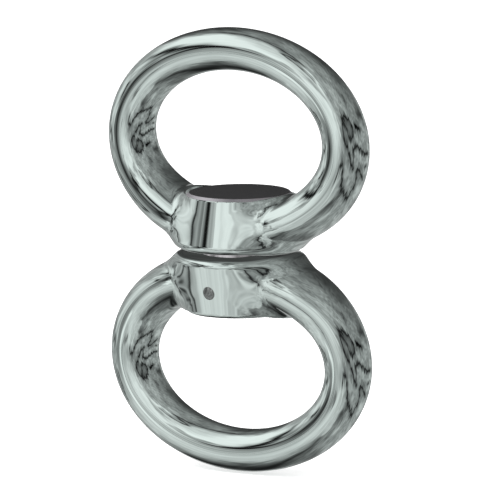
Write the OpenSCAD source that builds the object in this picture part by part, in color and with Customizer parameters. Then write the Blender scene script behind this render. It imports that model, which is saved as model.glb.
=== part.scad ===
// Swivel hoist ring with two forged eyes and a sealed ball thrust bearing.
// The upper eye hangs from the rigging. The lower eye turns under it on a bolt,
// whose head rides on the bearing inside the upper hub.
// Frame: the origin is on the swivel axis, midway between the hubs. +Z is up the axis,
// both eyes lie in the XZ plane, and the lock pin runs along Y.

/* [Eyes] */
// Half width of an eye, to the middle of its bar
eye_half_w = 56.6; // [53:0.1:60]
// Half height of an eye, to the middle of its bar
eye_half_h = 40.5; // [38:0.1:43]
// Bend radius at an eye's sides, to the middle of its bar
eye_side_r = 33; // [30:0.5:35]
// Height of an eye's centre above the swivel plane
eye_z = 49.5; // [48:0.1:52]
// Thickness of an eye's round bar at its crown and arms
bar_d = 20; // [17:0.1:21]
// How much the bar's radius grows where it is bent round an eye's sides
side_swell = 0.3; // [0.2:0.05:0.6]
// How far a gusset stands out from the bar's side where it meets the hub
gusset_w = 5.5; // [3:0.1:7]
// Length of a gusset along the bar
gusset_l = 15; // [12:0.5:18]

/* [Hubs] */
// Diameter of a hub at the swivel gap
hub_base_d = 58.4; // [56:0.2:64]
// Diameter of a hub at its far end
hub_end_d = 47.4; // [47:0.2:50]
// Rounding of a hub's edge at the swivel gap
hub_base_round = 3.5; // [2:0.1:5]
// Height of the lower hub
lower_hub_h = 26.2; // [24:0.1:30]
// Rounding of the lower hub's far edge
lower_end_round = 1.5; // [0.5:0.1:3]
// Gap between the two hubs
swivel_gap = 2.75; // [2:0.05:4]
// Thickness of the upper hub's floor, which carries the bearing
floor_t = 5.1; // [4.5:0.1:8]

/* [Bearing] */
// Outside diameter of the bearing washers
bearing_od = 35; // [34:0.1:36]
// Bore of the shaft washer less its fit, which is the bolt's diameter
bolt_d = 20; // [18:0.1:20.5]
// Height of the bearing over both washers
bearing_h = 10; // [9:0.1:11]
// Thickness of a bearing washer at its rim
race_t = 3.2; // [2.8:0.1:3.6]
// Diameter of a bearing ball
ball_d = 5.5; // [5:0.1:5.8]
// Number of bearing balls
ball_count = 12; // [8:1:13]
// Thickness of the ball cage
cage_t = 2.2; // [1.6:0.1:2.6]
// Cage left between a ball pocket and the cage's edge
cage_rim = 0.5; // [0.4:0.1:0.6]

/* [Bolt and bush] */
// Diameter of the bolt's head
head_d = 33; // [30:0.1:35]
// Height of the bolt's head
head_h = 6; // [5:0.1:8]
// Width across the flats of the hexagon socket in the bolt's head
socket_af = 12; // [10:1:14]
// Depth of the hexagon socket
socket_depth = 7; // [5:0.5:10]
// How far the bolt's end stops short of the lower hub's far face
bolt_end_recess = 1; // [0.5:0.1:3]
// Wall of the bronze bush
bush_wall = 2.5; // [1.5:0.1:3]
// Height of the grease seal under the bush
seal_h = 1.8; // [1.5:0.1:2.5]
// Diameter of the spacer washer in the swivel gap
spacer_d = 35.4; // [30:0.1:40]

/* [Cover] */
// Thickness of the cover's flange, all of it chamfered at 45 degrees
cover_t = 1.35; // [1:0.05:2]
// Diameter of the cover's spigot
spigot_d = 39; // [38:0.1:39.5]
// Height of the cover's spigot
spigot_h = 1.75; // [1.2:0.05:3]
// Thickness of the seal ring under the cover's flange
cover_seal_t = 1.3; // [1:0.1:1.5]

/* [Lock pin] */
// Diameter of the lock pin
pin_d = 6; // [4:0.1:8]
// Depth of the lock pin's axis below the lower hub's gap face
pin_depth = 14.75; // [11:0.05:17]
// How far the pin's ends stand out from the hub's face
pin_proud = 0.4; // [0.2:0.1:1]
// Height of the dome on each end of the pin
pin_dome = 0.6; // [0.2:0.1:1]

/* [Clearances] */
// Radial clearance of the bolt in the bush and of the balls in their races
running_fit = 0.05; // [0.02:0.01:0.1]
// Radial clearance of pieces that are seated in each other
seat_fit = 0.02; // [0.01:0.01:0.05]
// Clearance between flat faces that turn past each other
turning_gap = 0.3; // [0.2:0.05:0.5]
// Room round the bolt's head and between it and the cover
chamber_room = 0.6; // [0.4:0.1:1]
// Radial clearance of the ball cage round the bolt
cage_gap = 0.4; // [0.3:0.1:0.6]
// Clearance of a ball in its cage pocket
pocket_fit = 0.1; // [0.05:0.01:0.15]

/* [Hidden] */
$fn = 96;
balls = [for (i = [1 : ball_count]) str("bearing_ball_", i)];
// Overshoot of a cut past the face that it opens
cut = 1;
// Flat steps along an edge rounding, sections along a gusset and sides round one
round_steps = 8;
gusset_steps = 12;
gusset_sides = 40;
// How far a gusset's top, bottom and tip lie inside the bar
gusset_inset = 1.5;
// How far the crown and the arms run on inside the thicker side bends
bend_lap = 2;
// Break of the bolt's and washers' sharp edges
edge_break = 0.4;
// Lead chamfer on the bolt's threaded end
thread_lead = 1.5;

bar_r = bar_d / 2;
bolt_r = bolt_d / 2;
ball_r = ball_d / 2;
hub_base_r = hub_base_d / 2;
hub_end_r = hub_end_d / 2;
bush_r = bolt_r + bush_wall;
cage_half_w = ball_r + pocket_fit + cage_rim;
pitch_r = bolt_r + cage_gap + cage_half_w;
chamber_r = max(bearing_od / 2, head_d / 2, pitch_r + cage_half_w) + chamber_room;

// The long bends over the crown and under the hub are tangent to the side bends
side_x = eye_half_w - eye_side_r;
long_r = (pow(side_x, 2) + pow(eye_half_h, 2) - pow(eye_side_r, 2)) / (2 * (eye_half_h - eye_side_r));
long_a = atan2(side_x, long_r - eye_half_h);
lap_a = bend_lap / long_r * 180 / PI;
arm_centre_z = eye_z + long_r - eye_half_h;
arm_end_a = asin(bush_r / long_r);
gusset_tip_a = asin(hub_base_r / long_r) + gusset_l / long_r * 180 / PI;

// Heights from the swivel plane, up through the upper hub and down through the lower one
gap_z = swivel_gap / 2;
floor_z = gap_z + floor_t;
ball_z = floor_z + bearing_h / 2;
head_z = floor_z + bearing_h;
head_top_z = head_z + head_h;
cover_z = head_top_z + chamber_room + spigot_h;
upper_hub_h = cover_z - gap_z;
lower_end_z = -gap_z - lower_hub_h;
pin_z = -gap_z - pin_depth;
pin_hub_r = hub_base_r - (hub_base_r - hub_end_r) * pin_depth / lower_hub_h;
pin_half_l = pin_hub_r + pin_proud;
seal_groove_r = (spigot_d / 2 + hub_end_r) / 2;

// Rounding of a corner at c between the directions to a and b, as points from a's side to b's
function unit(v) = v / norm(v);
function rounded(a, c, b, r) =
    let (u = unit(a - c), w = unit(b - c), half = acos(u * w) / 2, m = c + unit(u + w) * r / sin(half))
    let (p = c + u * r / tan(half) - m, q = c + w * r / tan(half) - m)
    let (side = sign(p.x * q.y - p.y * q.x), turn = acos(p * q / (r * r)))
    [for (i = [0 : round_steps]) let (t = side * turn * i / round_steps)
        m + [p.x * cos(t) - p.y * sin(t), p.x * sin(t) + p.y * cos(t)]];

// A ring of rectangular section with broken edges
module ring(inner_r, outer_r, z0, z1, edge = edge_break) {
    rotate_extrude()
        polygon([
            [inner_r + edge, z0], [outer_r - edge, z0], [outer_r, z0 + edge], [outer_r, z1 - edge],
            [outer_r - edge, z1], [inner_r + edge, z1], [inner_r, z1 - edge], [inner_r, z0 + edge]]);
}

// A round bar of radius thick bent about the eye's Y direction, from angle a0 to a1 above +X
module bend(x, z, r, a0, a1, thick) {
    translate([x, 0, z]) rotate([90, 0, 0]) rotate([0, 0, a0])
        rotate_extrude(angle = a1 - a0) translate([r, 0]) circle(r = thick);
}

// A point at angle a along the arm's bend, at a distance out from its middle line
function arm_point(a, out) = [(long_r + out) * sin(a), 0, arm_centre_z - (long_r + out) * cos(a)];

// An oval section of the gusset, which widens faster the nearer it is to the hub
function gusset_section(a) =
    let (depth = bar_r - gusset_inset)
    let (near = min(1, (gusset_tip_a - a) * long_r / gusset_l * PI / 180))
    let (width = depth + (gusset_w + gusset_inset) * pow(near, 2))
    [for (i = [0 : gusset_sides - 1]) let (t = 360 * i / gusset_sides)
        arm_point(a, depth * cos(t)) + [0, width * sin(t), 0]];

// The web on both sides of an arm that leads it into the hub
module gusset() {
    n = gusset_sides;
    step_a = (gusset_tip_a - arm_end_a) / gusset_steps;
    points = [for (k = [0 : gusset_steps]) each gusset_section(arm_end_a + step_a * k)];
    wall = [for (k = [0 : gusset_steps - 1], i = [0 : n - 1])
        let (p = k * n + i, q = k * n + (i + 1) % n)
        each [[p, p + n, q + n], [p, q + n, q]]];
    hub_end = [for (i = [0 : n - 1]) i];
    tip_end = [for (i = [0 : n - 1]) gusset_steps * n + n - 1 - i];
    polyhedron(points = points, faces = concat(wall, [hub_end, tip_end]));
}

// One arm with its gusset, cut level just inside the hub's base
module arm() {
    difference() {
        union() {
            bend(0, arm_centre_z, long_r, arm_end_a - 90, long_a + lap_a - 90, bar_r);
            gusset();
        }
        translate([-eye_half_w, -eye_half_w, -eye_half_w])
            cube([2 * eye_half_w, 2 * eye_half_w, eye_half_w + gap_z + cut]);
    }
}

// The bar of one eye, above the swivel plane
module eye_bar() {
    crown_a = long_a + lap_a;
    bend(0, eye_z - long_r + eye_half_h, long_r, 90 - crown_a, 90 + crown_a, bar_r);
    for (side = [0, 1]) mirror([side, 0, 0]) {
        bend(side_x, eye_z, eye_side_r, long_a - 90, 90 - long_a, bar_r + side_swell);
        arm();
    }
}

// A solid hub above the swivel plane, of height h, with its far edge rounded by r
module hub_blank(h, r) {
    base = [hub_base_r, gap_z];
    end = [hub_end_r, gap_z + h];
    rotate_extrude()
        polygon(concat(
            [[0, gap_z]], rounded([0, gap_z], base, end, hub_base_round),
            r > 0 ? rounded(base, end, [0, gap_z + h], r) : [end], [[0, gap_z + h]]));
}

module upper_eye() color("lightsteelblue") difference() {
    union() {
        hub_blank(upper_hub_h, 0);
        eye_bar();
    }
    rotate_extrude()
        polygon([
            [0, gap_z - cut], [bush_r + seat_fit, gap_z - cut], [bush_r + seat_fit, floor_z],
            [bearing_od / 2 + seat_fit, floor_z], [bearing_od / 2 + seat_fit, floor_z + race_t],
            [chamber_r, floor_z + race_t], [chamber_r, cover_z - spigot_h],
            [spigot_d / 2 + seat_fit, cover_z - spigot_h], [spigot_d / 2 + seat_fit, cover_z + cut],
            [0, cover_z + cut]]);
    rotate_extrude()
        translate([seal_groove_r - cover_seal_t / 2 - seat_fit, cover_z - cover_seal_t - seat_fit])
            square([cover_seal_t + 2 * seat_fit, cover_seal_t + seat_fit + cut]);
    translate([0, 0, cover_z]) cylinder(h = bar_d, r = hub_end_r);
}

module cover_disc() color("dimgray") rotate_extrude()
    polygon([
        [0, cover_z - spigot_h], [spigot_d / 2, cover_z - spigot_h], [spigot_d / 2, cover_z],
        [hub_end_r, cover_z], [hub_end_r - cover_t, cover_z + cover_t], [0, cover_z + cover_t]]);

module cover_seal() color("black") rotate_extrude()
    translate([seal_groove_r, cover_z - cover_seal_t / 2]) circle(d = cover_seal_t - seat_fit);

module hub_bush() color("goldenrod")
    ring(bolt_r + running_fit, bush_r, gap_z + seal_h, floor_z);

module grease_seal() color("black")
    ring(bolt_r + running_fit, bush_r, gap_z + seat_fit, gap_z + seal_h - seat_fit);

// The groove that the balls run in, as the solid to cut away
module race_groove() {
    rotate_extrude() translate([pitch_r, ball_z]) circle(r = ball_r + running_fit);
}

module bearing_housing_washer() color("silver") difference() {
    ring(bolt_r + chamber_room, bearing_od / 2, floor_z, floor_z + race_t);
    race_groove();
}

module bearing_shaft_washer() color("silver") difference() {
    ring(bolt_r + seat_fit, bearing_od / 2, head_z - race_t, head_z);
    race_groove();
}

module at_ball(i) {
    rotate([0, 0, 360 * (i - 1) / ball_count]) translate([pitch_r, 0, ball_z]) children();
}

module ball_cage() color("darkgoldenrod") difference() {
    ring(pitch_r - cage_half_w, pitch_r + cage_half_w, ball_z - cage_t / 2, ball_z + cage_t / 2);
    for (i = [1 : ball_count]) at_ball(i) sphere(r = ball_r + pocket_fit);
}

module bearing_ball(i) color("gainsboro") at_ball(i) sphere(d = ball_d);

// A round bar along Y through the lower hub, for the lock pin and its hole
module cross_bar(r, half_l) {
    translate([0, 0, pin_z]) rotate([90, 0, 0]) cylinder(h = 2 * half_l, r = r, center = true);
}

module swivel_bolt() color("slategray") difference() {
    rotate_extrude()
        polygon([
            [0, lower_end_z + bolt_end_recess],
            [bolt_r - thread_lead, lower_end_z + bolt_end_recess],
            [bolt_r, lower_end_z + bolt_end_recess + thread_lead],
            [bolt_r, head_z], [head_d / 2 - edge_break, head_z], [head_d / 2, head_z + edge_break],
            [head_d / 2, head_top_z - edge_break], [head_d / 2 - edge_break, head_top_z],
            [0, head_top_z]]);
    translate([0, 0, head_top_z - socket_depth])
        cylinder(h = socket_depth + cut, r = socket_af / 2 / cos(30), $fn = 6);
    cross_bar(pin_d / 2 + seat_fit, bolt_d);
}

module spacer_washer() color("silver")
    ring(bolt_r + seat_fit, spacer_d / 2, -gap_z, gap_z - turning_gap);

module lower_eye() color("lightsteelblue") difference() {
    mirror([0, 0, 1]) union() {
        hub_blank(lower_hub_h, lower_end_round);
        eye_bar();
    }
    translate([0, 0, lower_end_z - cut])
        cylinder(h = lower_hub_h + 2 * cut, r = bolt_r + seat_fit);
    cross_bar(pin_d / 2 + seat_fit, hub_base_d);
}

module lock_pin() color("gray") {
    flat = pin_half_l - pin_dome;
    translate([0, 0, pin_z]) rotate([90, 0, 0]) rotate_extrude()
        polygon([
            [0, -pin_half_l], [pin_d / 2 - pin_dome, -pin_half_l], [pin_d / 2, -flat],
            [pin_d / 2, flat], [pin_d / 2 - pin_dome, pin_half_l], [0, pin_half_l]]);
}

upper_eye();
cover_disc();
cover_seal();
hub_bush();
grease_seal();
bearing_housing_washer();
ball_cage();
for (i = [1 : ball_count]) bearing_ball(i);
bearing_shaft_washer();
swivel_bolt();
spacer_washer();
lower_eye();
lock_pin();
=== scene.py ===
"""Looks of an eye-to-eye lifting swivel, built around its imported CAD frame."""
import itertools
import logging
import math
from dataclasses import dataclass, field
from enum import Enum

import bpy
import numpy as np
from mathutils import Matrix, Vector


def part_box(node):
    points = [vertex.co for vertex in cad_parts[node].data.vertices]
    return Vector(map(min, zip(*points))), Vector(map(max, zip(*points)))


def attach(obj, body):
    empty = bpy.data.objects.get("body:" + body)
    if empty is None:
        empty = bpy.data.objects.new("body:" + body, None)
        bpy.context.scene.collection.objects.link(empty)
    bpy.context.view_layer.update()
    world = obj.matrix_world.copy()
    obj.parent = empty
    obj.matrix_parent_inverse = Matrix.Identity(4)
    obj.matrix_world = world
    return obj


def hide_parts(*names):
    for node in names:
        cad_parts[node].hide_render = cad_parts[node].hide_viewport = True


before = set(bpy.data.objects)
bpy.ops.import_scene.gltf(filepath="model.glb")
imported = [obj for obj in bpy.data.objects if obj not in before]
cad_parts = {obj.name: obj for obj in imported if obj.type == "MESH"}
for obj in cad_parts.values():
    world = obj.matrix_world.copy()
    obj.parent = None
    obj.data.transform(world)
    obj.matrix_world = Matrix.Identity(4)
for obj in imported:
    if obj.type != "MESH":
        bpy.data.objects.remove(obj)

MM = 0.001
# Least values that keep a division from zero
TINY = 1e-9
SMALL = 1e-6
# A Mix node's two colour inputs and its colour output
MIX_A, MIX_B, MIX_OUT = 6, 7, 2
LOG = logging.getLogger("swivel")


def srgb(code: str) -> tuple[float, float, float, float]:
    """Turns an sRGB hex colour into linear values.

    Args:
        code: six hex digits, with or without a leading hash.

    Returns:
        Linear red, green, blue and an alpha of 1.
    """
    return (*(grey(int(code.lstrip("#")[i:i + 2], 16)) for i in (0, 2, 4)), 1.0)


def grey(level: float) -> float:
    """Returns the linear value of an sRGB grey from 0 to 255."""
    c = level / 255
    return c / 12.92 if c <= 0.04045 else ((c + 0.055) / 1.055) ** 2.4


def add_node(tree: bpy.types.NodeTree, kind: str, settings: dict | None = None,
             inputs: dict | None = None) -> bpy.types.Node:
    """Adds one shader node.

    Args:
        tree: the node tree it goes in.
        kind: the node's type name, without its ShaderNode prefix.
        settings: the node's own properties.
        inputs: its sockets by name or number, each a value or a socket to link from.

    Returns:
        The new node.
    """
    node = tree.nodes.new("ShaderNode" + kind)
    for name, value in (settings or {}).items():
        setattr(node, name, value)
    for name, value in (inputs or {}).items():
        if isinstance(value, bpy.types.NodeSocket):
            tree.links.new(value, node.inputs[name])
        else:
            node.inputs[name].default_value = value
    return node


def link_mesh(name: str, mesh: bpy.types.Mesh) -> bpy.types.Object:
    """Puts a mesh in the scene as an object.

    Args:
        name: the object's name.
        mesh: its mesh.

    Returns:
        The new object.
    """
    obj = bpy.data.objects.new(name, mesh)
    bpy.context.scene.collection.objects.link(obj)
    return obj


def bare_tree(owner: bpy.types.Material | bpy.types.World) -> bpy.types.NodeTree:
    """Switches a material or a world to nodes.

    Args:
        owner: the material or world.

    Returns:
        Its node tree, emptied.
    """
    owner.use_nodes = True
    owner.node_tree.nodes.clear()
    return owner.node_tree


def ease(share: np.ndarray) -> np.ndarray:
    """Returns shares from 0 to 1 with a soft start and end."""
    return share * share * (3 - 2 * share)


class Pattern(Enum):
    """How a surface's fine marks run."""

    RINGS = "turned rings about the swivel axis"
    ALL_WAYS = "marks with no direction"


@dataclass(frozen=True)
class Finish:
    """A surface made of one material by one process.

    Pattern sizes are in millimetres.
    """

    name: str
    light: str
    dark: str
    metallic: float
    rough_low: float
    rough_high: float
    mark_mm: float
    mark_depth_mm: float
    pattern: Pattern = Pattern.ALL_WAYS
    mottle_mm: float = 6.0
    wave_mm: float = 0.0
    wave_depth_mm: float = 0.0

    def material(self) -> bpy.types.Material:
        """Builds the node material, once.

        Returns:
            The material, new or already there.
        """
        found = bpy.data.materials.get(self.name)
        if found:
            return found
        made = bpy.data.materials.new(self.name)
        tree = bare_tree(made)
        place = add_node(tree, "TexCoord").outputs["Object"]
        cloud = add_node(tree, "TexNoise", {}, {
            "Vector": place, "Scale": 1 / (self.mottle_mm * MM), "Detail": 4.0})
        tone = add_node(tree, "Mix", {"data_type": "RGBA"}, {
            "Factor": cloud.outputs["Fac"], MIX_A: srgb(self.dark), MIX_B: srgb(self.light)})
        marks = self.mark_height(tree, place)
        rough = add_node(tree, "MapRange", {}, {
            "Value": marks, "To Min": self.rough_low, "To Max": self.rough_high})
        bump = add_node(tree, "Bump", {}, {
            "Height": marks, "Distance": self.mark_depth_mm * MM, "Strength": 1.0})
        normal = bump.outputs["Normal"]
        if self.wave_mm:
            wave = add_node(tree, "TexNoise", {}, {
                "Vector": place, "Scale": 1 / (self.wave_mm * MM), "Detail": 1.0})
            bend = add_node(tree, "Bump", {}, {
                "Height": wave.outputs["Fac"], "Distance": self.wave_depth_mm * MM, "Strength": 1.0,
                "Normal": normal})
            normal = bend.outputs["Normal"]
        skin = add_node(tree, "BsdfPrincipled", {}, {
            "Base Color": tone.outputs[MIX_OUT], "Metallic": self.metallic,
            "Roughness": rough.outputs["Result"], "Normal": normal})
        add_node(tree, "OutputMaterial", {}, {"Surface": skin.outputs["BSDF"]})
        return made

    def mark_height(self, tree: bpy.types.NodeTree, place: bpy.types.NodeSocket) -> bpy.types.NodeSocket:
        """Adds the nodes that draw the fine marks.

        Args:
            tree: the material's node tree.
            place: the socket with the surface point in metres.

        Returns:
            The socket with the marks' height, from 0 to 1.
        """
        if self.pattern is Pattern.RINGS:
            flat = add_node(tree, "VectorMath", {"operation": "MULTIPLY"}, {0: place, 1: (1.0, 1.0, 0.0)})
            reach = add_node(tree, "VectorMath", {"operation": "LENGTH"}, {0: flat.outputs["Vector"]})
            along = add_node(tree, "SeparateXYZ", {}, {"Vector": place})
            feed = add_node(tree, "Math", {"operation": "ADD"}, {
                0: reach.outputs["Value"], 1: along.outputs["Z"]})
            lines = add_node(tree, "TexNoise", {"noise_dimensions": "1D"}, {
                "W": feed.outputs["Value"], "Scale": 1 / (self.mark_mm * MM), "Detail": 2.0})
            return lines.outputs["Fac"]
        grain = add_node(tree, "TexNoise", {}, {
            "Vector": place, "Scale": 1 / (self.mark_mm * MM), "Detail": 5.0})
        return grain.outputs["Fac"]


# Polished chrome plate: a cool, faintly green mirror. The forging under it leaves slow waves, and the
# buffing leaves a fine haze. Buffing marks of 0.1 mm are drawn at 0.8 mm so that they can show.
CHROME = Finish("polished_chrome_plate", "E4F0EC", "DDEAE6", 1.0, 0.03, 0.06, 0.8, 0.0002,
                wave_mm=9.0, wave_depth_mm=0.010)
# Black oxide on a turned disc: an even, neutral near-black with a low sheen.
BLACK_OXIDE = Finish("black_oxide_steel", "2A2A2B", "252526", 0.0, 0.5, 0.62, 0.7, 0.004, Pattern.RINGS)
# Bright turned steel: a soft metal light broken into rings. A feed of 0.1 mm is drawn at 0.5 mm.
TURNED = Finish("turned_bright_steel", "E2DFE4", "CFCCD2", 1.0, 0.28, 0.42, 0.5, 0.006, Pattern.RINGS)
# Polished washer steel: a clean white edge with faint rings.
POLISHED = Finish("polished_washer_steel", "F8F5F8", "EEEBEE", 1.0, 0.12, 0.2, 0.5, 0.001, Pattern.RINGS)
# Peened steel: hammered pin ends, dull and uneven, grey with darker pits.
PEENED = Finish("peened_steel", "C2C6C4", "3A3F3D", 1.0, 0.22, 0.4, 0.9, 0.1, mottle_mm=1.1)
# Phosphated steel: a dark grey crystal coat that holds oil. Crystals of 0.02 mm are drawn at 0.4 mm.
PHOSPHATED = Finish("phosphated_bolt_steel", "5E6062", "484A4C", 0.8, 0.42, 0.6, 0.4, 0.004)
# Ground bearing steel: clean, cool and nearly a mirror, with the wheel's faint rings.
GROUND = Finish("ground_bearing_steel", "DCDEE2", "CACCD1", 1.0, 0.1, 0.2, 0.4, 0.001, Pattern.RINGS)
# Bored bronze: warm brown-gold with the boring tool's rings.
BRONZE = Finish("bored_bronze", "B8905A", "94703F", 1.0, 0.25, 0.4, 0.5, 0.004, Pattern.RINGS)
# Pressed brass: yellow sheet metal with a satin, rolled skin.
BRASS = Finish("pressed_brass", "CDAE6B", "B49350", 1.0, 0.22, 0.38, 0.6, 0.003)
# Moulded nitrile rubber: matt black, faintly dusty, with the mould's fine grain.
NITRILE = Finish("moulded_nitrile", "262626", "1B1B1B", 0.0, 0.55, 0.75, 0.5, 0.01)


def lathe(name: str, profile: list[tuple[float, float]], turns: int = 128) -> bpy.types.Mesh:
    """Turns a closed profile about the swivel axis.

    Args:
        name: the mesh's name.
        profile: radius and height of each corner in millimetres, in order, the first and last on the axis.
        turns: how many steps go round.

    Returns:
        A closed mesh in metres, facing outward for a profile that runs up the outside from the axis.
    """
    verts: list[tuple[float, float, float]] = []
    rows: list[list[int]] = []
    for radius, height in profile:
        row = []
        for i in range(1 if radius < TINY else turns):
            angle = 2 * math.pi * i / turns
            row.append(len(verts))
            verts.append((radius * math.cos(angle) * MM, radius * math.sin(angle) * MM, height * MM))
        rows.append(row)
    faces: list[tuple[int, ...]] = []
    for low, high in zip(rows, rows[1:]):
        for i in range(turns):
            j = (i + 1) % turns
            corners = [low[i % len(low)], low[j % len(low)], high[j % len(high)], high[i % len(high)]]
            faces.append(tuple(dict.fromkeys(corners)))
    mesh = bpy.data.meshes.new(name)
    mesh.from_pydata(verts, [], [f for f in faces if len(f) > 2])
    mesh.validate()
    return mesh


def subtract(obj: bpy.types.Object, cutters: list[bpy.types.Mesh]) -> None:
    """Cuts each closed mesh out of an object, exactly.

    Args:
        obj: the object that is cut; it gets a new mesh.
        cutters: the meshes that are taken away.
    """
    made = []
    for mesh in cutters:
        tool = link_mesh(mesh.name, mesh)
        cut = obj.modifiers.new(mesh.name, "BOOLEAN")
        cut.operation, cut.solver, cut.object = "DIFFERENCE", "EXACT", tool
        made.append(tool)
    deps = bpy.context.evaluated_depsgraph_get()
    result = bpy.data.meshes.new_from_object(obj.evaluated_get(deps))
    obj.modifiers.clear()
    obj.data = result
    for tool in made:
        bpy.data.objects.remove(tool)


def unit(v: np.ndarray) -> np.ndarray:
    """Returns vectors scaled to length one."""
    return v / np.maximum(np.linalg.norm(v, axis=-1, keepdims=True), TINY)


def surface_net(values: np.ndarray, origin: np.ndarray, step: float) -> tuple[np.ndarray, np.ndarray]:
    """Makes a quad mesh where a field on a grid is zero.

    Args:
        values: the field at the grid's points, below zero inside.
        origin: the place of the first grid point.
        step: the grid's spacing.

    Returns:
        The points and the quads, facing outward.
    """
    inside = values < 0
    size = np.array(values.shape) - 1
    corners = list(itertools.product((0, 1), repeat=3))
    count = sum(inside[i:i + size[0], j:j + size[1], k:k + size[2]].astype(np.int8) for i, j, k in corners)
    mixed = (count > 0) & (count < 8)
    index = np.full(mixed.shape, -1)
    cells = np.argwhere(mixed)
    index[mixed] = np.arange(len(cells))
    total, hits = np.zeros((len(cells), 3)), np.zeros(len(cells))
    for a, b in itertools.combinations(corners, 2):
        if sum(abs(p - q) for p, q in zip(a, b)) != 1:
            continue
        va, vb = (values[tuple((cells + c).T)] for c in (a, b))
        cross = (va < 0) != (vb < 0)
        share = va[cross] / (va[cross] - vb[cross])
        total[cross] += np.array(a) + share[:, None] * (np.array(b) - np.array(a))
        hits[cross] += 1
    points = origin + step * (cells + total / hits[:, None])
    quads = []
    for axis in range(3):
        u, v = (axis + 1) % 3, (axis + 2) % 3
        low = np.take(inside, range(size[axis]), axis)
        high = np.take(inside, range(1, size[axis] + 1), axis)
        edge = np.argwhere(low != high)
        start = low[tuple(edge.T)]
        ring = []
        for du, dv in ((0, 0), (1, 0), (1, 1), (0, 1)):
            cell = edge.copy()
            cell[:, u] -= du
            cell[:, v] -= dv
            ring.append(index[tuple(cell.T)])
        quad = np.stack(ring, 1)
        quad[~start] = quad[~start][:, ::-1]
        quads.append(quad)
    return points, np.concatenate(quads)


class EyeEnd(Enum):
    """Which of the two eyes a forging is."""

    UPPER = 1
    LOWER = -1


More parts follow.
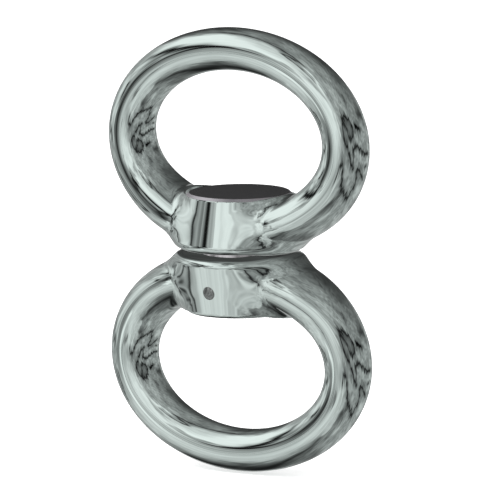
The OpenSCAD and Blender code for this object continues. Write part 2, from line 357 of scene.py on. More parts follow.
@dataclass
class ForgedEye:
    """One forged eye with its hub: an oval ring of round bar that flares into a cone.

    Sizes are in millimetres, in a frame where the ring stands up from the gap. The lower eye is turned over.
    The bar swells from the crown down to the roots, each gain by its own power. The roots widen between the
    two distances of root_span from the axis. Over section_turn, the bar's inner side gives way to its outer.
    """

    end: EyeEnd
    half_width: float = 56.6
    half_height: float = 40.6
    centre_z: float = 49.5
    bar_r: float = 9.57
    bar_r_gain: float = 1.45
    bar_r_power: float = 1.3
    bar_side: float = 10.3
    bar_side_gain: float = 2.75
    bar_side_power: float = 1.4
    section_power: float = 2.05
    section_turn: float = 3.0
    root_side: float = 5.56
    root_depth: float = -0.93
    root_power: float = 0.57
    root_span: tuple[float, float] = (24.0, 58.0)
    gap_z: float = 1.375
    hub_r: float = 29.02
    hub_end_r: float = 23.7
    base_round: float = 3.5
    fillet_in: float = 12.95
    seat_fillet_in: float = 10.0
    fillet_side: float = 4.43
    fillet_out: float = 9.65
    saddle_span: float = 19.6
    fillet_fade: tuple[float, float] = (0.6, 1.0)
    fillet_least: float = 0.03
    foot_lift: float = 1.66
    foot_round: float = 4.0
    cover_z: float = 24.825
    lower_height: float = 26.2
    lip_z: float = 25.8
    lip_round: float = 1.2
    end_round: float = 1.5
    grid_step: float = 0.9
    grid_half: tuple[float, float] = (68.0, 31.0)
    grid_z: tuple[float, float] = (-1.0, 102.0)
    smoothing: tuple[float, ...] = (0.5, 0.5, 0.4, 0.0, 0.0)
    slope_step: float = 0.01
    nearest_rounds: int = 4
    nearest_stride: float = 0.3
    skin_slack: float = 0.02
    face_match: float = 0.8
    pin_z: float = 16.125
    pin_hole_r: float = 3.02
    pin_hole_turns: int = 64
    bolt_hole_r: float = 10.02
    bolt_cut_z: float = 5.0
    cut_reach: float = 40.0
    bore: list[tuple[float, float]] = field(default_factory=lambda: [
        (0, 0.375), (12.52, 0.375), (12.52, 6.475), (17.52, 6.475), (17.52, 9.675), (18.1, 9.675),
        (18.1, 23.075), (19.52, 23.075), (19.52, 24.825), (20.93, 24.825), (20.93, 23.505), (22.27, 23.505),
        (22.27, 24.825), (23.75, 24.825), (25.95, 32.15), (25.95, 45), (0, 45)])

    def meet(self, a: np.ndarray, na: np.ndarray, b: np.ndarray, nb: np.ndarray,
             r: float) -> tuple[np.ndarray, np.ndarray]:
        """Keeps what two solids share, with a rounded edge.

        Args:
            a: the first solid's field.
            na: the first solid's outward directions.
            b: the second solid's field.
            nb: the second solid's outward directions.
            r: the edge's radius.

        Returns:
            The shared solid's field and outward directions.
        """
        u, v = np.maximum(a + r, 0), np.maximum(b + r, 0)
        value = np.minimum(np.maximum(a + r, b + r), 0) + np.hypot(u, v) - r
        deep = (u + v) <= 0
        wa, wb = np.where(deep, a > b, u), np.where(deep, a <= b, v)
        return value, unit(wa[..., None] * na + wb[..., None] * nb)

    def ring(self, p: np.ndarray) -> tuple[np.ndarray, np.ndarray, np.ndarray]:
        """The oval ring of bar.

        Args:
            p: points in the upright frame.

        Returns:
            Its field, its outward directions and the fillet radius it asks for there.
        """
        rx, rz = self.half_width, self.half_height
        x, y, z = np.abs(p[..., 0]), p[..., 1], p[..., 2] - self.centre_z
        t = np.arctan2(z * rx, x * rz)
        for _ in range(self.nearest_rounds):
            c, s = np.cos(t), np.sin(t)
            ex, ez, dx, dz = x - rx * c, z - rz * s, -rx * s, rz * c
            slope = -(dx * dx + dz * dz) - ex * rx * c - ez * rz * s
            stride = (ex * dx + ez * dz) / np.where(np.abs(slope) > SMALL, slope, SMALL)
            t = t - np.clip(stride, -self.nearest_stride, self.nearest_stride)
        c, s = np.cos(t), np.sin(t)
        nx, nz = c / rx, s / rz
        size = np.hypot(nx, nz)
        d = ((x - rx * c) * nx + (z - rz * s) * nz) / size
        low = (1 - s) / 2
        near, far = self.root_span
        root = ease(np.clip((far - rx * np.abs(c)) / (far - near), 0, 1) * (s < 0))
        outer = 0.5 + 0.5 * np.tanh(d / self.section_turn)
        r = self.bar_r + self.bar_r_gain * low ** self.bar_r_power + self.root_depth * root
        a = self.bar_side + self.bar_side_gain * low ** self.bar_side_power + self.root_side * root
        n = self.section_power + self.root_power * root * (1 - outer)
        reach = (np.abs(d / r) ** n + np.abs(y / a) ** n) ** (1 / n)
        side = ease((y / a) ** 2 / np.maximum((y / a) ** 2 + (d / r) ** 2, SMALL))
        inner = self.seat_fillet_in if self.end is EyeEnd.UPPER else self.fillet_in
        inner = self.fillet_side + (inner - self.fillet_side) * np.exp(-(y / self.saddle_span) ** 2)
        fillet = self.fillet_side * side + (1 - side) * (inner * (1 - outer) + self.fillet_out * outer)
        sign = np.where(p[..., 0] < 0, -1, 1)
        out = unit(np.stack([sign * d / r ** 2 * nx / size, y / a ** 2, d / r ** 2 * nz / size], -1))
        return (reach - 1) * np.minimum(r, a), out, fillet

    def skin(self, p: np.ndarray) -> np.ndarray:
        """The forging's field before it is machined, below zero inside.

        Args:
            p: points in the upright frame.

        Returns:
            The field at each point.
        """
        x, y, z = p[..., 0], p[..., 1], p[..., 2]
        up = np.zeros(p.shape)
        up[..., 2] = 1
        ring, ring_out, fillet = self.ring(p)
        ring, ring_out = self.meet(ring, ring_out, self.gap_z + self.foot_lift - z, -up, self.foot_round)
        upper = self.end is EyeEnd.UPPER
        height = self.cover_z - self.gap_z if upper else self.lower_height
        taper = (self.hub_r - self.hub_end_r) / height
        reach = np.maximum(np.hypot(x, y), SMALL)
        cone = (reach - self.hub_r + taper * (z - self.gap_z)) / math.hypot(1, taper)
        cone_out = unit(np.stack([x / reach, y / reach, np.full(x.shape, taper)], -1))
        hub, hub_out = self.meet(cone, cone_out, self.gap_z - z, -up, self.base_round)
        end_z = self.lip_z if upper else self.gap_z + self.lower_height
        end_round = self.lip_round if upper else self.end_round
        hub, hub_out = self.meet(hub, hub_out, z - end_z, up, end_round)
        low, high = self.fillet_fade
        fade = np.clip((hub_out[..., 2] - low) / (high - low), 0, 1)
        fillet = fillet * np.maximum(1 - ease(fade), self.fillet_least)
        u, v = np.maximum(fillet - ring, 0), np.maximum(fillet - hub, 0)
        return np.maximum(fillet, np.minimum(ring, hub)) - np.hypot(u, v)

    def slope(self, p: np.ndarray) -> np.ndarray:
        """Returns the field's gradient at points in the upright frame."""
        step = self.slope_step
        return np.stack([(self.skin(p + d) - self.skin(p - d)) / (2 * step) for d in np.eye(3) * step], -1)

    def blank(self) -> tuple[np.ndarray, np.ndarray]:
        """Makes the forging's skin as an even quad mesh.

        Returns:
            Its points in the upright frame, and its quads.
        """
        step = self.grid_step
        nx, ny = (math.ceil(half / step) for half in self.grid_half)
        axes = [np.arange(nx + 1) * step, np.arange(ny + 1) * step, np.arange(*self.grid_z, step)]
        quarter = self.skin(np.stack(np.meshgrid(*axes, indexing="ij"), -1))
        half = np.concatenate([quarter[:0:-1], quarter])
        whole = np.concatenate([half[:, :0:-1], half], 1)
        points, quads = surface_net(whole, np.array([-nx * step, -ny * step, self.grid_z[0]]), step)
        pairs = np.concatenate([quads[:, [i, (i + 1) % 4]] for i in range(4)])
        near = np.zeros(len(points))
        np.add.at(near, pairs.ravel(), 1)
        for smooth in self.smoothing:
            if smooth:
                total = np.zeros(points.shape)
                np.add.at(total, pairs[:, 0], points[pairs[:, 1]])
                np.add.at(total, pairs[:, 1], points[pairs[:, 0]])
                points = points + smooth * (total / near[:, None] - points)
            slope = self.slope(points)
            points = points - self.skin(points)[:, None] * slope / (slope ** 2).sum(-1, keepdims=True)
        return points, quads

    def cutters(self) -> list[bpy.types.Mesh]:
        """Makes the closed meshes that machine the forging.

        Returns:
            The meshes, in place.
        """
        if self.end is EyeEnd.UPPER:
            return [lathe("upper_bore", self.bore)]
        r, far, top = self.bolt_hole_r, self.cut_reach, self.bolt_cut_z
        bolt = lathe("bolt_bore", [(0, -far), (r, -far), (r, top), (0, top)])
        r = self.pin_hole_r
        pin = lathe("pin_bore", [(0, -far), (r, -far), (r, far), (0, far)], self.pin_hole_turns)
        pin.transform(Matrix.Translation((0, 0, -self.pin_z * MM)) @ Matrix.Rotation(math.pi / 2, 4, "X"))
        return [bolt, pin]

    def build(self) -> bpy.types.Object:
        """Forges, machines and plates the eye.

        Returns:
            The finished piece, riding on its body.
        """
        sign = self.end.value
        points, quads = self.blank()
        if sign < 0:
            points = points * np.array([1, 1, -1])
            quads = quads[:, ::-1]
        name = self.end.name.lower()
        mesh = bpy.data.meshes.new(f"forged_{name}_eye")
        mesh.from_pydata((points * MM).tolist(), [], quads.tolist())
        eye = link_mesh(f"forged_{name}_eye", mesh)
        subtract(eye, self.cutters())
        self.smooth(eye.data)
        eye.data.materials.clear()
        eye.data.materials.append(CHROME.material())
        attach(eye, name)
        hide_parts(f"{name}_eye")
        # No piece shows in another's mirror: dark cards in the tent stand in for that, as painted
        # reflections of the other pieces and painted shade between the hubs, here and below
        eye.visible_glossy = False
        return eye

    def smooth(self, mesh: bpy.types.Mesh) -> None:
        """Gives the forged skin the true surface's directions and leaves machined faces flat.

        Args:
            mesh: the machined forging, in place.
        """
        turn = np.array([1, 1, self.end.value])
        co = np.empty(len(mesh.vertices) * 3)
        mesh.vertices.foreach_get("co", co)
        p = co.reshape(-1, 3) / MM * turn
        forged = np.abs(self.skin(p)) < self.skin_slack
        out = unit(self.slope(p)) * turn
        corner = np.empty(len(mesh.loops), int)
        mesh.loops.foreach_get("vertex_index", corner)
        normals = np.empty((len(mesh.loops), 3))
        for face in mesh.polygons:
            face.use_smooth = True
            span = slice(face.loop_start, face.loop_start + face.loop_total)
            own = corner[span]
            flat = np.array(face.normal)
            same = forged[own].all() and (out[own] @ flat > self.face_match).all()
            normals[span] = out[own] if same else flat
        mesh.normals_split_custom_set(normals.tolist())


@dataclass
class CoverDisc:
    """The disc that closes the upper hub: black, with a bright turned chamfer. Sizes are in millimetres."""

    top_z: float = 26.175
    seat_z: float = 24.825
    rim_r: float = 23.7
    top_r: float = 22.35
    spigot_r: float = 19.5
    spigot_z: float = 23.075
    edge: float = 0.12
    turns: int = 160

    def build(self) -> bpy.types.Object:
        """Turns the disc and blackens all but its chamfer.

        Returns:
            The finished piece, riding on the upper body.
        """
        e = self.edge
        rows = [(0, self.spigot_z), (self.spigot_r - e, self.spigot_z), (self.spigot_r, self.spigot_z + e),
                (self.spigot_r, self.seat_z), (self.rim_r - e, self.seat_z), (self.rim_r, self.seat_z + e),
                (self.rim_r - e, self.seat_z + 2 * e), (self.top_r + e, self.top_z - e),
                (self.top_r - e, self.top_z), (0, self.top_z)]
        disc = link_mesh("turned_cover_disc", lathe("turned_cover_disc", rows, self.turns))
        for finish in (BLACK_OXIDE, TURNED):
            disc.data.materials.append(finish.material())
        for face in disc.data.polygons:
            mid = face.center
            reach = math.hypot(mid.x, mid.y) / MM
            face.material_index = int(reach > self.top_r and mid.z / MM > self.seat_z)
        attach(disc, "upper")
        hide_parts("cover_disc")
        disc.visible_glossy = False
        return disc


@dataclass
class LockPin:
    """The cross pin that locks the bolt in the lower hub, with hammered ends. Sizes are in millimetres."""

    radius: float = 2.98
    dome: float = 0.7
    dome_steps: int = 14
    lip: tuple[float, float] = (0.1, 0.12)
    turns: int = 56
    dent_seed: int = 7
    dent_count: int = 46
    dent_depth: float = 0.16
    dent_r: float = 0.42
    dent_reach: float = 0.92
    end_slack: float = 0.05

    def build(self) -> bpy.types.Object:
        """Turns the pin and peens both ends.

        Returns:
            The finished piece, riding on the lower body.
        """
        low, high = (Vector(c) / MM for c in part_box("lock_pin"))
        half, z = (high.y - low.y) / 2, (low.z + high.z) / 2
        r, steps, edge = self.radius, self.dome_steps, half - self.dome
        crown = [(r * k / steps, half - self.dome * (k / steps) ** 2) for k in range(steps)]
        upper = crown + [(r - self.lip[0], edge), (r, edge - self.lip[1])]
        rows = [(a, -b) for a, b in upper] + [(a, b) for a, b in reversed(upper)]
        mesh = lathe("peened_lock_pin", rows, self.turns)
        self.peen(mesh, half)
        mesh.transform(Matrix.Translation((0, 0, z * MM)) @ Matrix.Rotation(math.pi / 2, 4, "X"))
        pin = link_mesh("peened_lock_pin", mesh)
        pin.data.materials.append(PEENED.material())
        for face in mesh.polygons:
            face.use_smooth = True
        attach(pin, "lower")
        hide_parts("lock_pin")
        pin.visible_glossy = False
        return pin

    def peen(self, mesh: bpy.types.Mesh, half: float) -> None:
        """Presses hammer dents into both ends.

        Args:
            mesh: the pin along Z, in metres.
            half: half its length in millimetres.
        """
        chance = np.random.default_rng(self.dent_seed)
        ends = {}
        for side in (-1, 1):
            reach = self.radius * self.dent_reach * np.sqrt(chance.random(self.dent_count))
            angle = 2 * math.pi * chance.random(self.dent_count)
            ends[side] = np.stack([reach * np.cos(angle), reach * np.sin(angle)], 1)
        for vert in mesh.vertices:
            x, y, z = (c / MM for c in vert.co)
            if abs(z) < half - self.dome - self.end_slack:
                continue
            side = 1 if z > 0 else -1
            gap = ((ends[side] - (x, y)) ** 2).sum(1)
            depth = self.dent_depth * np.exp(-gap / (2 * self.dent_r ** 2)).max()
            vert.co.z = (z - side * depth) * MM


@dataclass
class InnerParts:
    """The turning parts inside the hubs, which keep their CAD shapes and get real finishes."""

    finishes: dict[str, Finish] = field(default_factory=lambda: {
        "cover_seal": NITRILE, "grease_seal": NITRILE, "hub_bush": BRONZE, "ball_cage": BRASS,
        "bearing_housing_washer": GROUND, "bearing_shaft_washer": GROUND, "swivel_bolt": PHOSPHATED,
        "spacer_washer": POLISHED, **{f"bearing_ball_{i}": GROUND for i in range(1, 13)}})

    def dress(self) -> None:
        """Gives each CAD node its finish, and keeps it out of the eyes' mirrors."""
        for node, finish in self.finishes.items():
            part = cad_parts[node]
            part.visible_glossy = False
            for slot in part.material_slots:
                slot.material = finish.material()
            LOG.info("%s dressed in %s", node, finish.name)


@dataclass(frozen=True)
class Card:
    """A pale card or dark ribbon inside the light tent.

    Its points lie in the plane of mirror directions: across and up are how far a mirror leans to show it,
    as the sine of the lean, from the view that the photograph takes. A filled card is the area inside its
    points, and any other is a strip along them. Width is how far it reaches past its line, soft is the
    breadth of its edge, and smoke that of the thin haze round it.
    """

    tone: float
    soft: float
    points: tuple[tuple[float, float], ...]
    width: float = 0.0
    filled: bool = False
    smoke: float = 0.0
    haze_share: float = 0.4

    def cover(self, x: np.ndarray, y: np.ndarray) -> np.ndarray:
        """How much of the tent the card covers at each point, from 0 to 1.

        Args:
            x: places across.
            y: places up.

        Returns:
            The cover, with soft edges and a smoky fringe.
        """
        pts = np.array(self.points)
        ends = np.roll(pts, -1, 0) if self.filled else pts[1:]
        best = np.hypot(x - pts[0, 0], y - pts[0, 1])
        inside = np.zeros(x.shape, bool)
        for (ax, ay), (bx, by) in zip(pts, ends):
            dx, dy = bx - ax, by - ay
            t = np.clip(((x - ax) * dx + (y - ay) * dy) / max(dx * dx + dy * dy, TINY), 0, 1)
            best = np.minimum(best, np.hypot(x - ax - t * dx, y - ay - t * dy))
            if self.filled:
                spans = (ay > y) != (by > y)
                inside ^= spans & (x < ax + (y - ay) * dx / (dy if abs(dy) > TINY else TINY))
        if self.filled:
            best = np.where(inside, -best, best)
        edge = ease(np.clip(0.5 - (best - self.width) / self.soft, 0, 1))
        if self.smoke:
            haze = np.clip(1 - (best - self.width) / self.smoke, 0, 1)
            edge = np.maximum(edge, self.haze_share * haze * haze)
        return edge


def ripple(x: np.ndarray, y: np.ndarray, seed: int, low: float, high: float,
           count: int = 14) -> np.ndarray:
    """Sums seeded sine waves into an uneven, cloth-like ripple.

    Args:
        x: places across.
        y: places up.
        seed: picks the waves.
        low: the longest wave's rate.
        high: the shortest wave's rate.
        count: how many waves there are.

    Returns:
        Heights of about one either way.
    """
    chance = np.random.default_rng(seed)
    total = np.zeros(x.shape)
    for _ in range(count):
        angle = chance.uniform(0, 2 * math.pi)
        rate = math.exp(chance.uniform(math.log(low), math.log(high)))
        shift = chance.uniform(0, 2 * math.pi)
        total = total + np.sin(rate * (x * math.cos(angle) + y * math.sin(angle)) + shift)
    return total / math.sqrt(count / 2)


@dataclass(frozen=True)
class Lamp:
    """A square soft lamp that faces the part: its place and side in metres, and its power in watts."""

    name: str
    place: tuple[float, float, float]
    side: float
    power: float


@dataclass
class Studio:
    """Camera, floor, lamps, world and the light tent that polished metal mirrors.

    Tones are sRGB greys from 0 to 255. The tent's far side, behind the part, fades to one tone between
    back_start and back_end, each given for the foot, the middle and the top, at the heights of back_rows.
    """

    azimuth: float = 33.28
    elevation: float = 8.88
    roll: float = 0.7
    frame_mm: float = 222.2
    aim_right_mm: float = 4.373
    aim_up_mm: float = -0.222
    distance: float = 8.0
    sensor_mm: float = 36.0
    sight: float = 200.0
    floor_z: float = -0.1003
    floor_side: float = 40.0
    floor_lift: float = 0.6
    shade_light: float = 0.6
    lamp_plan: tuple[Lamp, ...] = (
        Lamp("soft_key", (-1.2, -1.6, 2.2), 1.6, 70.0),
        Lamp("soft_fill", (1.8, -1.0, 1.6), 1.6, 25.0),
    )
    tent_rings: int = 360
    tent_turns: int = 800
    tent_r: float = 30.0
    cloth_tone: float = 148.0
    tone_span: tuple[float, float] = (8.0, 246.0)
    mirror_tint: str = "E2EFEB"
    ruffle: float = 0.01
    ruffle_seeds: tuple[int, int] = (3, 4)
    ruffle_waves: tuple[float, float] = (30.0, 130.0)
    marble: float = 13.0
    marble_seed: int = 5
    marble_waves: tuple[float, float, int] = (18.0, 160.0, 24)
    marble_fade: tuple[tuple[float, float], tuple[float, float]] = ((20.0, 120.0), (250.0, 90.0))
    contrast: float = 1.08
    mid_tone: float = 184.0
    back_rows: tuple[float, float, float, float] = (-0.8, -0.6, 0.45, 0.65)
    back_start: tuple[float, float, float] = (0.955, 0.9, 0.985)
    back_end: tuple[float, float, float] = (0.985, 0.965, 0.997)
    back_tone: float = 146.0
    cards: tuple[Card, ...] = (
        # Broad walls of the tent, dark at the top and at the foot; the dark strip along the top is painted
        # shade for the gap between the hubs
        Card(168, 0.5, ((0.0, 0.35), (0.1, 0.28)), 0.05),
        Card(92, 0.6, ((0.5, 0.72), (0.8, 0.45)), 0.1),
        Card(120, 0.35, ((-0.1, 0.85), (0.2, 0.78)), 0.08),
        Card(165, 0.35, ((-0.82, 0.45), (-0.8, 0.0)), 0.1),
        Card(190, 0.28, ((-0.66, -0.44), (-0.2, -0.36)), 0.16),
        Card(188, 0.22, ((-0.55, -0.15),), 0.1),
        Card(226, 0.22, ((-0.45, 0.02), (-0.36, -0.05), (-0.23, 0.02)), 0.1),
        Card(110, 0.3, ((0.0, -0.52), (0.1, -0.62)), 0.08),
        Card(150, 0.3, ((0.3, -0.72), (0.5, -0.68)), 0.1),
        Card(205, 0.22, ((0.6, -0.8), (0.8, -0.6), (0.93, -0.25), (0.98, 0.05)), 0.05),
        Card(70, 0.3, ((0.4, 0.8), (0.56, 0.72)), 0.05),
        Card(86, 0.25, ((-0.02, -0.95), (0.2, -0.9)), 0.05),
        # Painted shade: the facing flats in the gap between the hubs mirror this dark strip, standing in for
        # the hubs' shade and their reflections of each other
        Card(58, 0.2, ((-0.2, 1.0), (0.1, 0.98), (0.45, 0.9), (0.75, 0.7)), 0.06),
        Card(55, 0.2, ((-0.5, 0.86), (-0.35, 0.9), (-0.2, 0.94)), 0.06),
        Card(40, 0.26, ((-0.5, -0.82), (-0.3, -0.84), (-0.12, -0.92)), 0.1),
        Card(36, 0.14, ((-0.16, -0.7), (-0.17, -0.9)), 0.04),
        Card(85, 0.15, ((-0.15, -0.6), (-0.05, -0.75)), 0.04),
        # The main soft box, up on the left, and the small pale and grey cards round it
        Card(234, 0.13, ((-0.48, 0.08), (-0.38, 0.14), (-0.28, 0.28), (-0.22, 0.5), (-0.22, 0.64),
                         (-0.32, 0.7), (-0.58, 0.68), (-0.7, 0.54), (-0.64, 0.42), (-0.56, 0.26),
                         (-0.53, 0.16)), filled=True),
        Card(200, 0.16, ((-0.3, 0.3), (-0.3, 0.66)), 0.06),
        Card(150, 0.1, ((-0.22, 0.3), (-0.22, 0.66)), 0.02),
        Card(66, 0.2, ((-0.645, 0.0), (-0.652, -0.045)), 0.08),
        Card(228, 0.07, ((-0.4, 0.1), (-0.2, 0.08)), 0.05),
        Card(238, 0.04, ((-0.61, -0.15), (-0.592, -0.24)), 0.018),
        Card(210, 0.1, ((-0.94, -0.02), (-0.86, 0.08), (-0.82, 0.17), (-0.83, 0.3)), 0.05),
        Card(214, 0.12, ((-0.22, 0.32), (-0.14, 0.16)), 0.045),
        Card(184, 0.12, ((-0.12, -0.45), (0.02, -0.41)), 0.05),
        Card(210, 0.1, ((-0.66, -0.325), (-0.1, -0.325)), 0.05),
        Card(150, 0.12, ((-0.96, -0.22), (-0.9, -0.33), (-0.86, -0.42)), 0.04),
        Card(208, 0.06, ((-0.75, 0.36), (-0.735, 0.23)), 0.03),
        Card(204, 0.05, ((-0.77, 0.03), (-0.77, -0.07)), 0.03),
        Card(172, 0.02, ((-0.622, 0.08), (-0.63, 0.14)), 0.012),
        Card(155, 0.03, ((-0.71, 0.07), (-0.715, 0.14)), 0.015),
        Card(185, 0.03, ((-0.205, -0.29), (-0.205, -0.4), (-0.15, -0.58), (-0.02, -0.57), (-0.02, -0.46),
                         (-0.1, -0.37), (-0.125, -0.29)), filled=True),
        Card(216, 0.05, ((-0.125, 0.1), (-0.11, 0.0)), 0.03),
        Card(196, 0.03, ((-0.17, 0.04), (-0.15, 0.14)), 0.02),
        Card(178, 0.04, ((-0.08, 0.14), (-0.03, 0.07)), 0.03),
        Card(222, 0.05, ((-0.16, 0.24), (-0.115, 0.28), (-0.1, 0.34), (-0.14, 0.41)), 0.03),
        # Dark ribbons on the left, with two grey strips in the soft box's foot
        Card(50, 0.06, ((-0.35, 0.77), (-0.25, 0.74), (-0.17, 0.66), (-0.13, 0.57)), 0.02, smoke=0.1),
        Card(52, 0.05, ((-0.13, 0.57), (-0.11, 0.5), (-0.17, 0.485), (-0.23, 0.46)), 0.016, smoke=0.05),
        Card(60, 0.05, ((-0.23, 0.46), (-0.23, 0.38), (-0.2, 0.29)), 0.012, smoke=0.03),
        Card(150, 0.03, ((-0.48, 0.055), (-0.482, 0.15)), 0.026),
        Card(173, 0.02, ((-0.432, 0.055), (-0.432, 0.14)), 0.024),
        Card(30, 0.05, ((-0.66, 0.38), (-0.63, 0.28), (-0.585, 0.18)), 0.024, smoke=0.06),
        Card(30, 0.04, ((-0.585, 0.18), (-0.555, 0.12), (-0.55, 0.065)), 0.026, smoke=0.02),
        Card(45, 0.04, ((-0.56, 0.06), (-0.6, 0.06), (-0.64, 0.03), (-0.66, -0.04), (-0.655, -0.09)), 0.014,
             smoke=0.03),
        Card(48, 0.03, ((-0.765, 0.18), (-0.752, 0.07)), 0.012, smoke=0.03),
        Card(48, 0.05, ((-0.97, 0.25), (-0.93, 0.1), (-0.92, 0.0), (-0.87, -0.06)), 0.014),
        Card(62, 0.03, ((-0.82, -0.42), (-0.8, -0.24)), 0.012),
        Card(50, 0.025, ((-0.87, -0.2), (-0.858, -0.27), (-0.85, -0.33), (-0.855, -0.38)), 0.008),
        Card(80, 0.06, ((-0.47, -0.58), (-0.42, -0.66), (-0.33, -0.78)), 0.014, smoke=0.08),
        Card(125, 0.015, ((-0.44, -0.14), (-0.47, -0.05), (-0.545, -0.01)), 0.006),
        Card(90, 0.015, ((-0.558, -0.1), (-0.562, -0.15), (-0.555, -0.19), (-0.52, -0.18)), 0.005),
        Card(105, 0.04, ((-0.5, -0.2), (-0.42, -0.225), (-0.36, -0.28)), 0.01),
        # The dark curl on the right with its tail, and the strips beyond it
        Card(110, 0.1, ((0.33, -0.005), (0.45, 0.07), (0.42, 0.18), (0.27, 0.21), (0.1, 0.11), (0.02, 0.0),
                        (0.12, -0.07)), filled=True),
        Card(34, 0.04, ((0.33, -0.005), (0.4, 0.02), (0.45, 0.07), (0.46, 0.12), (0.42, 0.18), (0.35, 0.205),
                        (0.27, 0.21), (0.17, 0.17), (0.1, 0.11), (0.05, 0.05), (0.02, 0.0), (0.05, -0.04),
                        (0.12, -0.07), (0.2, -0.1), (0.25, -0.14), (0.3, -0.2), (0.38, -0.25),
                        (0.45, -0.27)), 0.018, smoke=0.07),
        Card(40, 0.04, ((0.33, -0.005), (0.27, 0.02), (0.23, 0.07), (0.17, 0.11), (0.1, 0.12)), 0.014,
             smoke=0.05),
        Card(70, 0.04, ((0.4, -0.09), (0.43, -0.17), (0.42, -0.26)), 0.016),
        Card(42, 0.04, ((0.4, -0.1), (0.48, -0.06), (0.55, -0.045), (0.62, -0.05), (0.68, -0.08),
                        (0.76, -0.1), (0.85, -0.09), (0.93, -0.07)), 0.018, smoke=0.06),
        Card(12, 0.05, ((0.57, 0.17), (0.7, 0.165)), 0.022, smoke=0.08),
        Card(40, 0.04, ((-0.16, -0.225), (-0.08, -0.19), (0.0, -0.22), (0.05, -0.27), (0.1, -0.33),
                        (0.17, -0.4), (0.25, -0.46), (0.33, -0.48), (0.4, -0.52), (0.48, -0.575),
                        (0.53, -0.57), (0.58, -0.5), (0.62, -0.44), (0.62, -0.38), (0.58, -0.31),
                        (0.63, -0.29), (0.7, -0.31), (0.77, -0.34), (0.84, -0.37)), 0.018, smoke=0.07),
        Card(85, 0.06, ((0.08, -0.5), (0.16, -0.51), (0.25, -0.48)), 0.02, smoke=0.06),
        Card(50, 0.05, ((0.84, -0.24), (0.92, -0.21)), 0.016),
        Card(80, 0.1, ((0.45, 0.44), (0.45, 0.36)), 0.03, smoke=0.1),
        Card(66, 0.12, ((0.76, 0.34), (0.9, 0.33)), 0.035, smoke=0.1),
    )

    def axes(self) -> tuple[np.ndarray, np.ndarray, np.ndarray]:
        """Works out how the photograph's view stands in the part's frame.

        Returns:
            The picture's right and up, and the way to the camera.
        """
        a, e, r = (math.radians(v) for v in (self.azimuth, self.elevation, self.roll))
        right = np.array([math.cos(a), math.sin(a), 0])
        up = np.array([-math.sin(e) * math.sin(a), math.sin(e) * math.cos(a), math.cos(e)])
        back = np.array([math.sin(a) * math.cos(e), -math.cos(a) * math.cos(e), math.sin(e)])
        return math.cos(r) * right - math.sin(r) * up, math.sin(r) * right + math.cos(r) * up, back

    def camera(self) -> None:
        """Sets a long lens far back, at the photograph's angle."""
        right, up, back = self.axes()
        lens = bpy.data.cameras.new("long_lens")
        lens.sensor_width = self.sensor_mm
        lens.lens = self.sensor_mm * self.distance / (self.frame_mm * MM)
        lens.clip_end = self.sight
        cam = bpy.data.objects.new("long_lens", lens)
        place = (right * self.aim_right_mm + up * self.aim_up_mm) * MM + back * self.distance
        turn = Matrix((right, up, back)).transposed().to_4x4()
        cam.matrix_world = Matrix.Translation(place) @ turn
        bpy.context.scene.collection.objects.link(cam)
        bpy.context.scene.camera = cam

    def tent_tone(self, x: np.ndarray, y: np.ndarray) -> np.ndarray:
        """Paints the tent's inside.

        Args:
            x: places across in the plane of mirror directions.
            y: places up.

        Returns:
            The light it gives at each place, linear.
        """
        reach = np.hypot(x, y)
        bend_x, bend_y = (self.ruffle * ripple(x, y, seed, *self.ruffle_waves) for seed in self.ruffle_seeds)
        x, y = x + bend_x, y + bend_y
        tone = np.full(x.shape, self.cloth_tone)
        for card in self.cards:
            tone = tone + (card.tone - tone) * card.cover(x, y)
        tone = self.mid_tone + self.contrast * (tone - self.mid_tone)
        low, high = (np.interp(y, self.back_rows, [foot, middle, middle, top])
                     for foot, middle, top in (self.back_start, self.back_end))
        behind = ease(np.clip((reach - low) / (high - low), 0, 1))
        tone = tone + (self.back_tone - tone) * behind
        (dark, dark_span), (pale, pale_span) = self.marble_fade
        mild = np.clip((tone - dark) / dark_span, 0, 1) * np.clip((pale - tone) / pale_span, 0, 1)
        clouds = ripple(x, y, self.marble_seed, *self.marble_waves)
        tone = np.clip(tone + self.marble * mild * clouds, *self.tone_span)
        levels = np.arange(256)
        return np.interp(tone, levels, [grey(v) for v in levels]) / srgb(self.mirror_tint)[1]

    def tent(self) -> None:
        """Hangs the light tent, which only polished surfaces see."""
        rings, turns = self.tent_rings, self.tent_turns
        right, up, back = self.axes()
        lean = np.linspace(0, math.pi / 2, rings + 1)[:, None]
        angle = np.linspace(0, 2 * math.pi, turns, endpoint=False)[None]
        across, aloft, level = np.cos(angle), np.sin(angle), np.ones_like(angle)
        lit = self.tent_tone(np.sin(lean) * across, np.sin(lean) * aloft).ravel()
        way = (np.sin(2 * lean) * across)[..., None] * right + (np.sin(2 * lean) * aloft)[..., None] * up
        way = (way + (np.cos(2 * lean) * level)[..., None] * back).reshape(-1, 3)
        i, j = np.meshgrid(np.arange(rings), np.arange(turns), indexing="ij")
        k = (j + 1) % turns
        quads = np.stack([i * turns + j, (i + 1) * turns + j, (i + 1) * turns + k, i * turns + k], -1)
        mesh = bpy.data.meshes.new("light_tent")
        mesh.from_pydata((way * self.tent_r).tolist(), [], quads.reshape(-1, 4).tolist())
        paint = mesh.color_attributes.new("tent_light", "FLOAT_COLOR", "POINT")
        paint.data.foreach_set("color", np.stack([lit, lit, lit, np.ones_like(lit)], 1).ravel())
        cloth = bpy.data.materials.new("lit_tent_cloth")
        tree = bare_tree(cloth)
        light = add_node(tree, "Attribute", {"attribute_name": "tent_light"})
        glow = add_node(tree, "Emission", {}, {"Color": light.outputs["Color"], "Strength": 1.0})
        add_node(tree, "OutputMaterial", {}, {"Surface": glow.outputs["Emission"]})
        cloth.cycles.emission_sampling = "NONE"
        mesh.materials.append(cloth)
        tent = link_mesh("light_tent", mesh)
        tent.visible_camera = tent.visible_diffuse = tent.visible_shadow = False
        tent.visible_transmission = tent.visible_volume_scatter = False

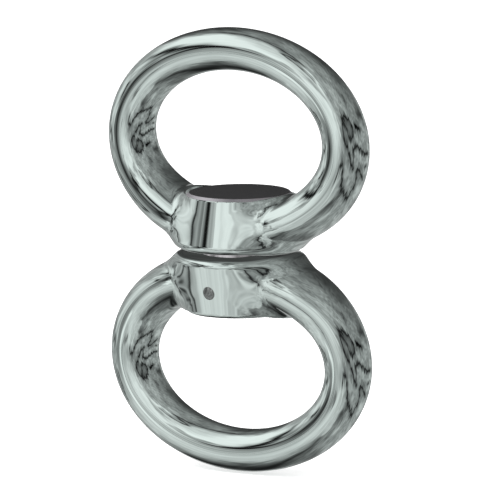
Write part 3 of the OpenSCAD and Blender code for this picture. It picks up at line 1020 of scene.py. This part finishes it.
    def floor(self) -> None:
        """Lays the pale floor, white to the camera where no shadow falls."""
        side, z = self.floor_side, self.floor_z
        mesh = bpy.data.meshes.new("studio_floor")
        mesh.from_pydata([(-side, -side, z), (side, -side, z), (side, side, z), (-side, side, z)], [],
                         [(0, 1, 2, 3)])
        paper = bpy.data.materials.new("white_floor_paper")
        tree = bare_tree(paper)
        path = add_node(tree, "LightPath")
        lift = add_node(tree, "Math", {"operation": "MULTIPLY"}, {
            0: path.outputs["Is Camera Ray"], 1: self.floor_lift})
        matt = add_node(tree, "BsdfDiffuse", {}, {"Color": srgb("F4F4F4")})
        glow = add_node(tree, "Emission", {}, {"Color": srgb("FFFFFF"), "Strength": lift.outputs["Value"]})
        both = add_node(tree, "AddShader", {}, {0: matt.outputs["BSDF"], 1: glow.outputs["Emission"]})
        add_node(tree, "OutputMaterial", {}, {"Surface": both.outputs["Shader"]})
        mesh.materials.append(paper)
        sheet = link_mesh("studio_floor", mesh)
        sheet.visible_glossy = False

    def lamps(self) -> None:
        """Hangs the soft lamps, which polished metal doesn't mirror."""
        for plan in self.lamp_plan:
            data = bpy.data.lights.new(plan.name, "AREA")
            data.size, data.energy = plan.side, plan.power
            lamp = bpy.data.objects.new(plan.name, data)
            lamp.location = plan.place
            lamp.rotation_euler = (-Vector(plan.place)).to_track_quat("-Z", "Y").to_euler()
            lamp.visible_glossy = False
            bpy.context.scene.collection.objects.link(lamp)

    def world(self) -> None:
        """Sets a white surround, softer for the light it gives."""
        sky = bpy.data.worlds.new("white_surround")
        bpy.context.scene.world = sky
        tree = bare_tree(sky)
        path = add_node(tree, "LightPath")
        seen = add_node(tree, "Math", {"operation": "MAXIMUM"}, {
            0: path.outputs["Is Camera Ray"], 1: path.outputs["Is Glossy Ray"]})
        seen = add_node(tree, "Math", {"operation": "MAXIMUM"}, {
            0: seen.outputs["Value"], 1: path.outputs["Is Transmission Ray"]})
        level = add_node(tree, "MapRange", {}, {
            "Value": seen.outputs["Value"], "To Min": self.shade_light, "To Max": 1.0})
        glow = add_node(tree, "Background", {}, {
            "Color": srgb("FFFFFF"), "Strength": level.outputs["Result"]})
        add_node(tree, "OutputWorld", {}, {"Surface": glow.outputs["Background"]})

    def build(self) -> None:
        """Sets up the whole studio."""
        self.camera()
        self.tent()
        self.floor()
        self.lamps()
        self.world()
        bpy.context.scene.view_settings.view_transform = "Standard"


def main() -> None:
    """Builds each sub-assembly in order and reports its pieces."""
    logging.basicConfig(level=logging.INFO, format="%(name)s: %(message)s")
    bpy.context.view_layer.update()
    Studio().build()
    for end in EyeEnd:
        eye = ForgedEye(end).build()
        LOG.info("%s: %d faces", eye.name, len(eye.data.polygons))
    for part in (CoverDisc(), LockPin()):
        piece = part.build()
        LOG.info("%s: %d faces", piece.name, len(piece.data.polygons))
    InnerParts().dress()


if __name__ == "__main__":
    main()
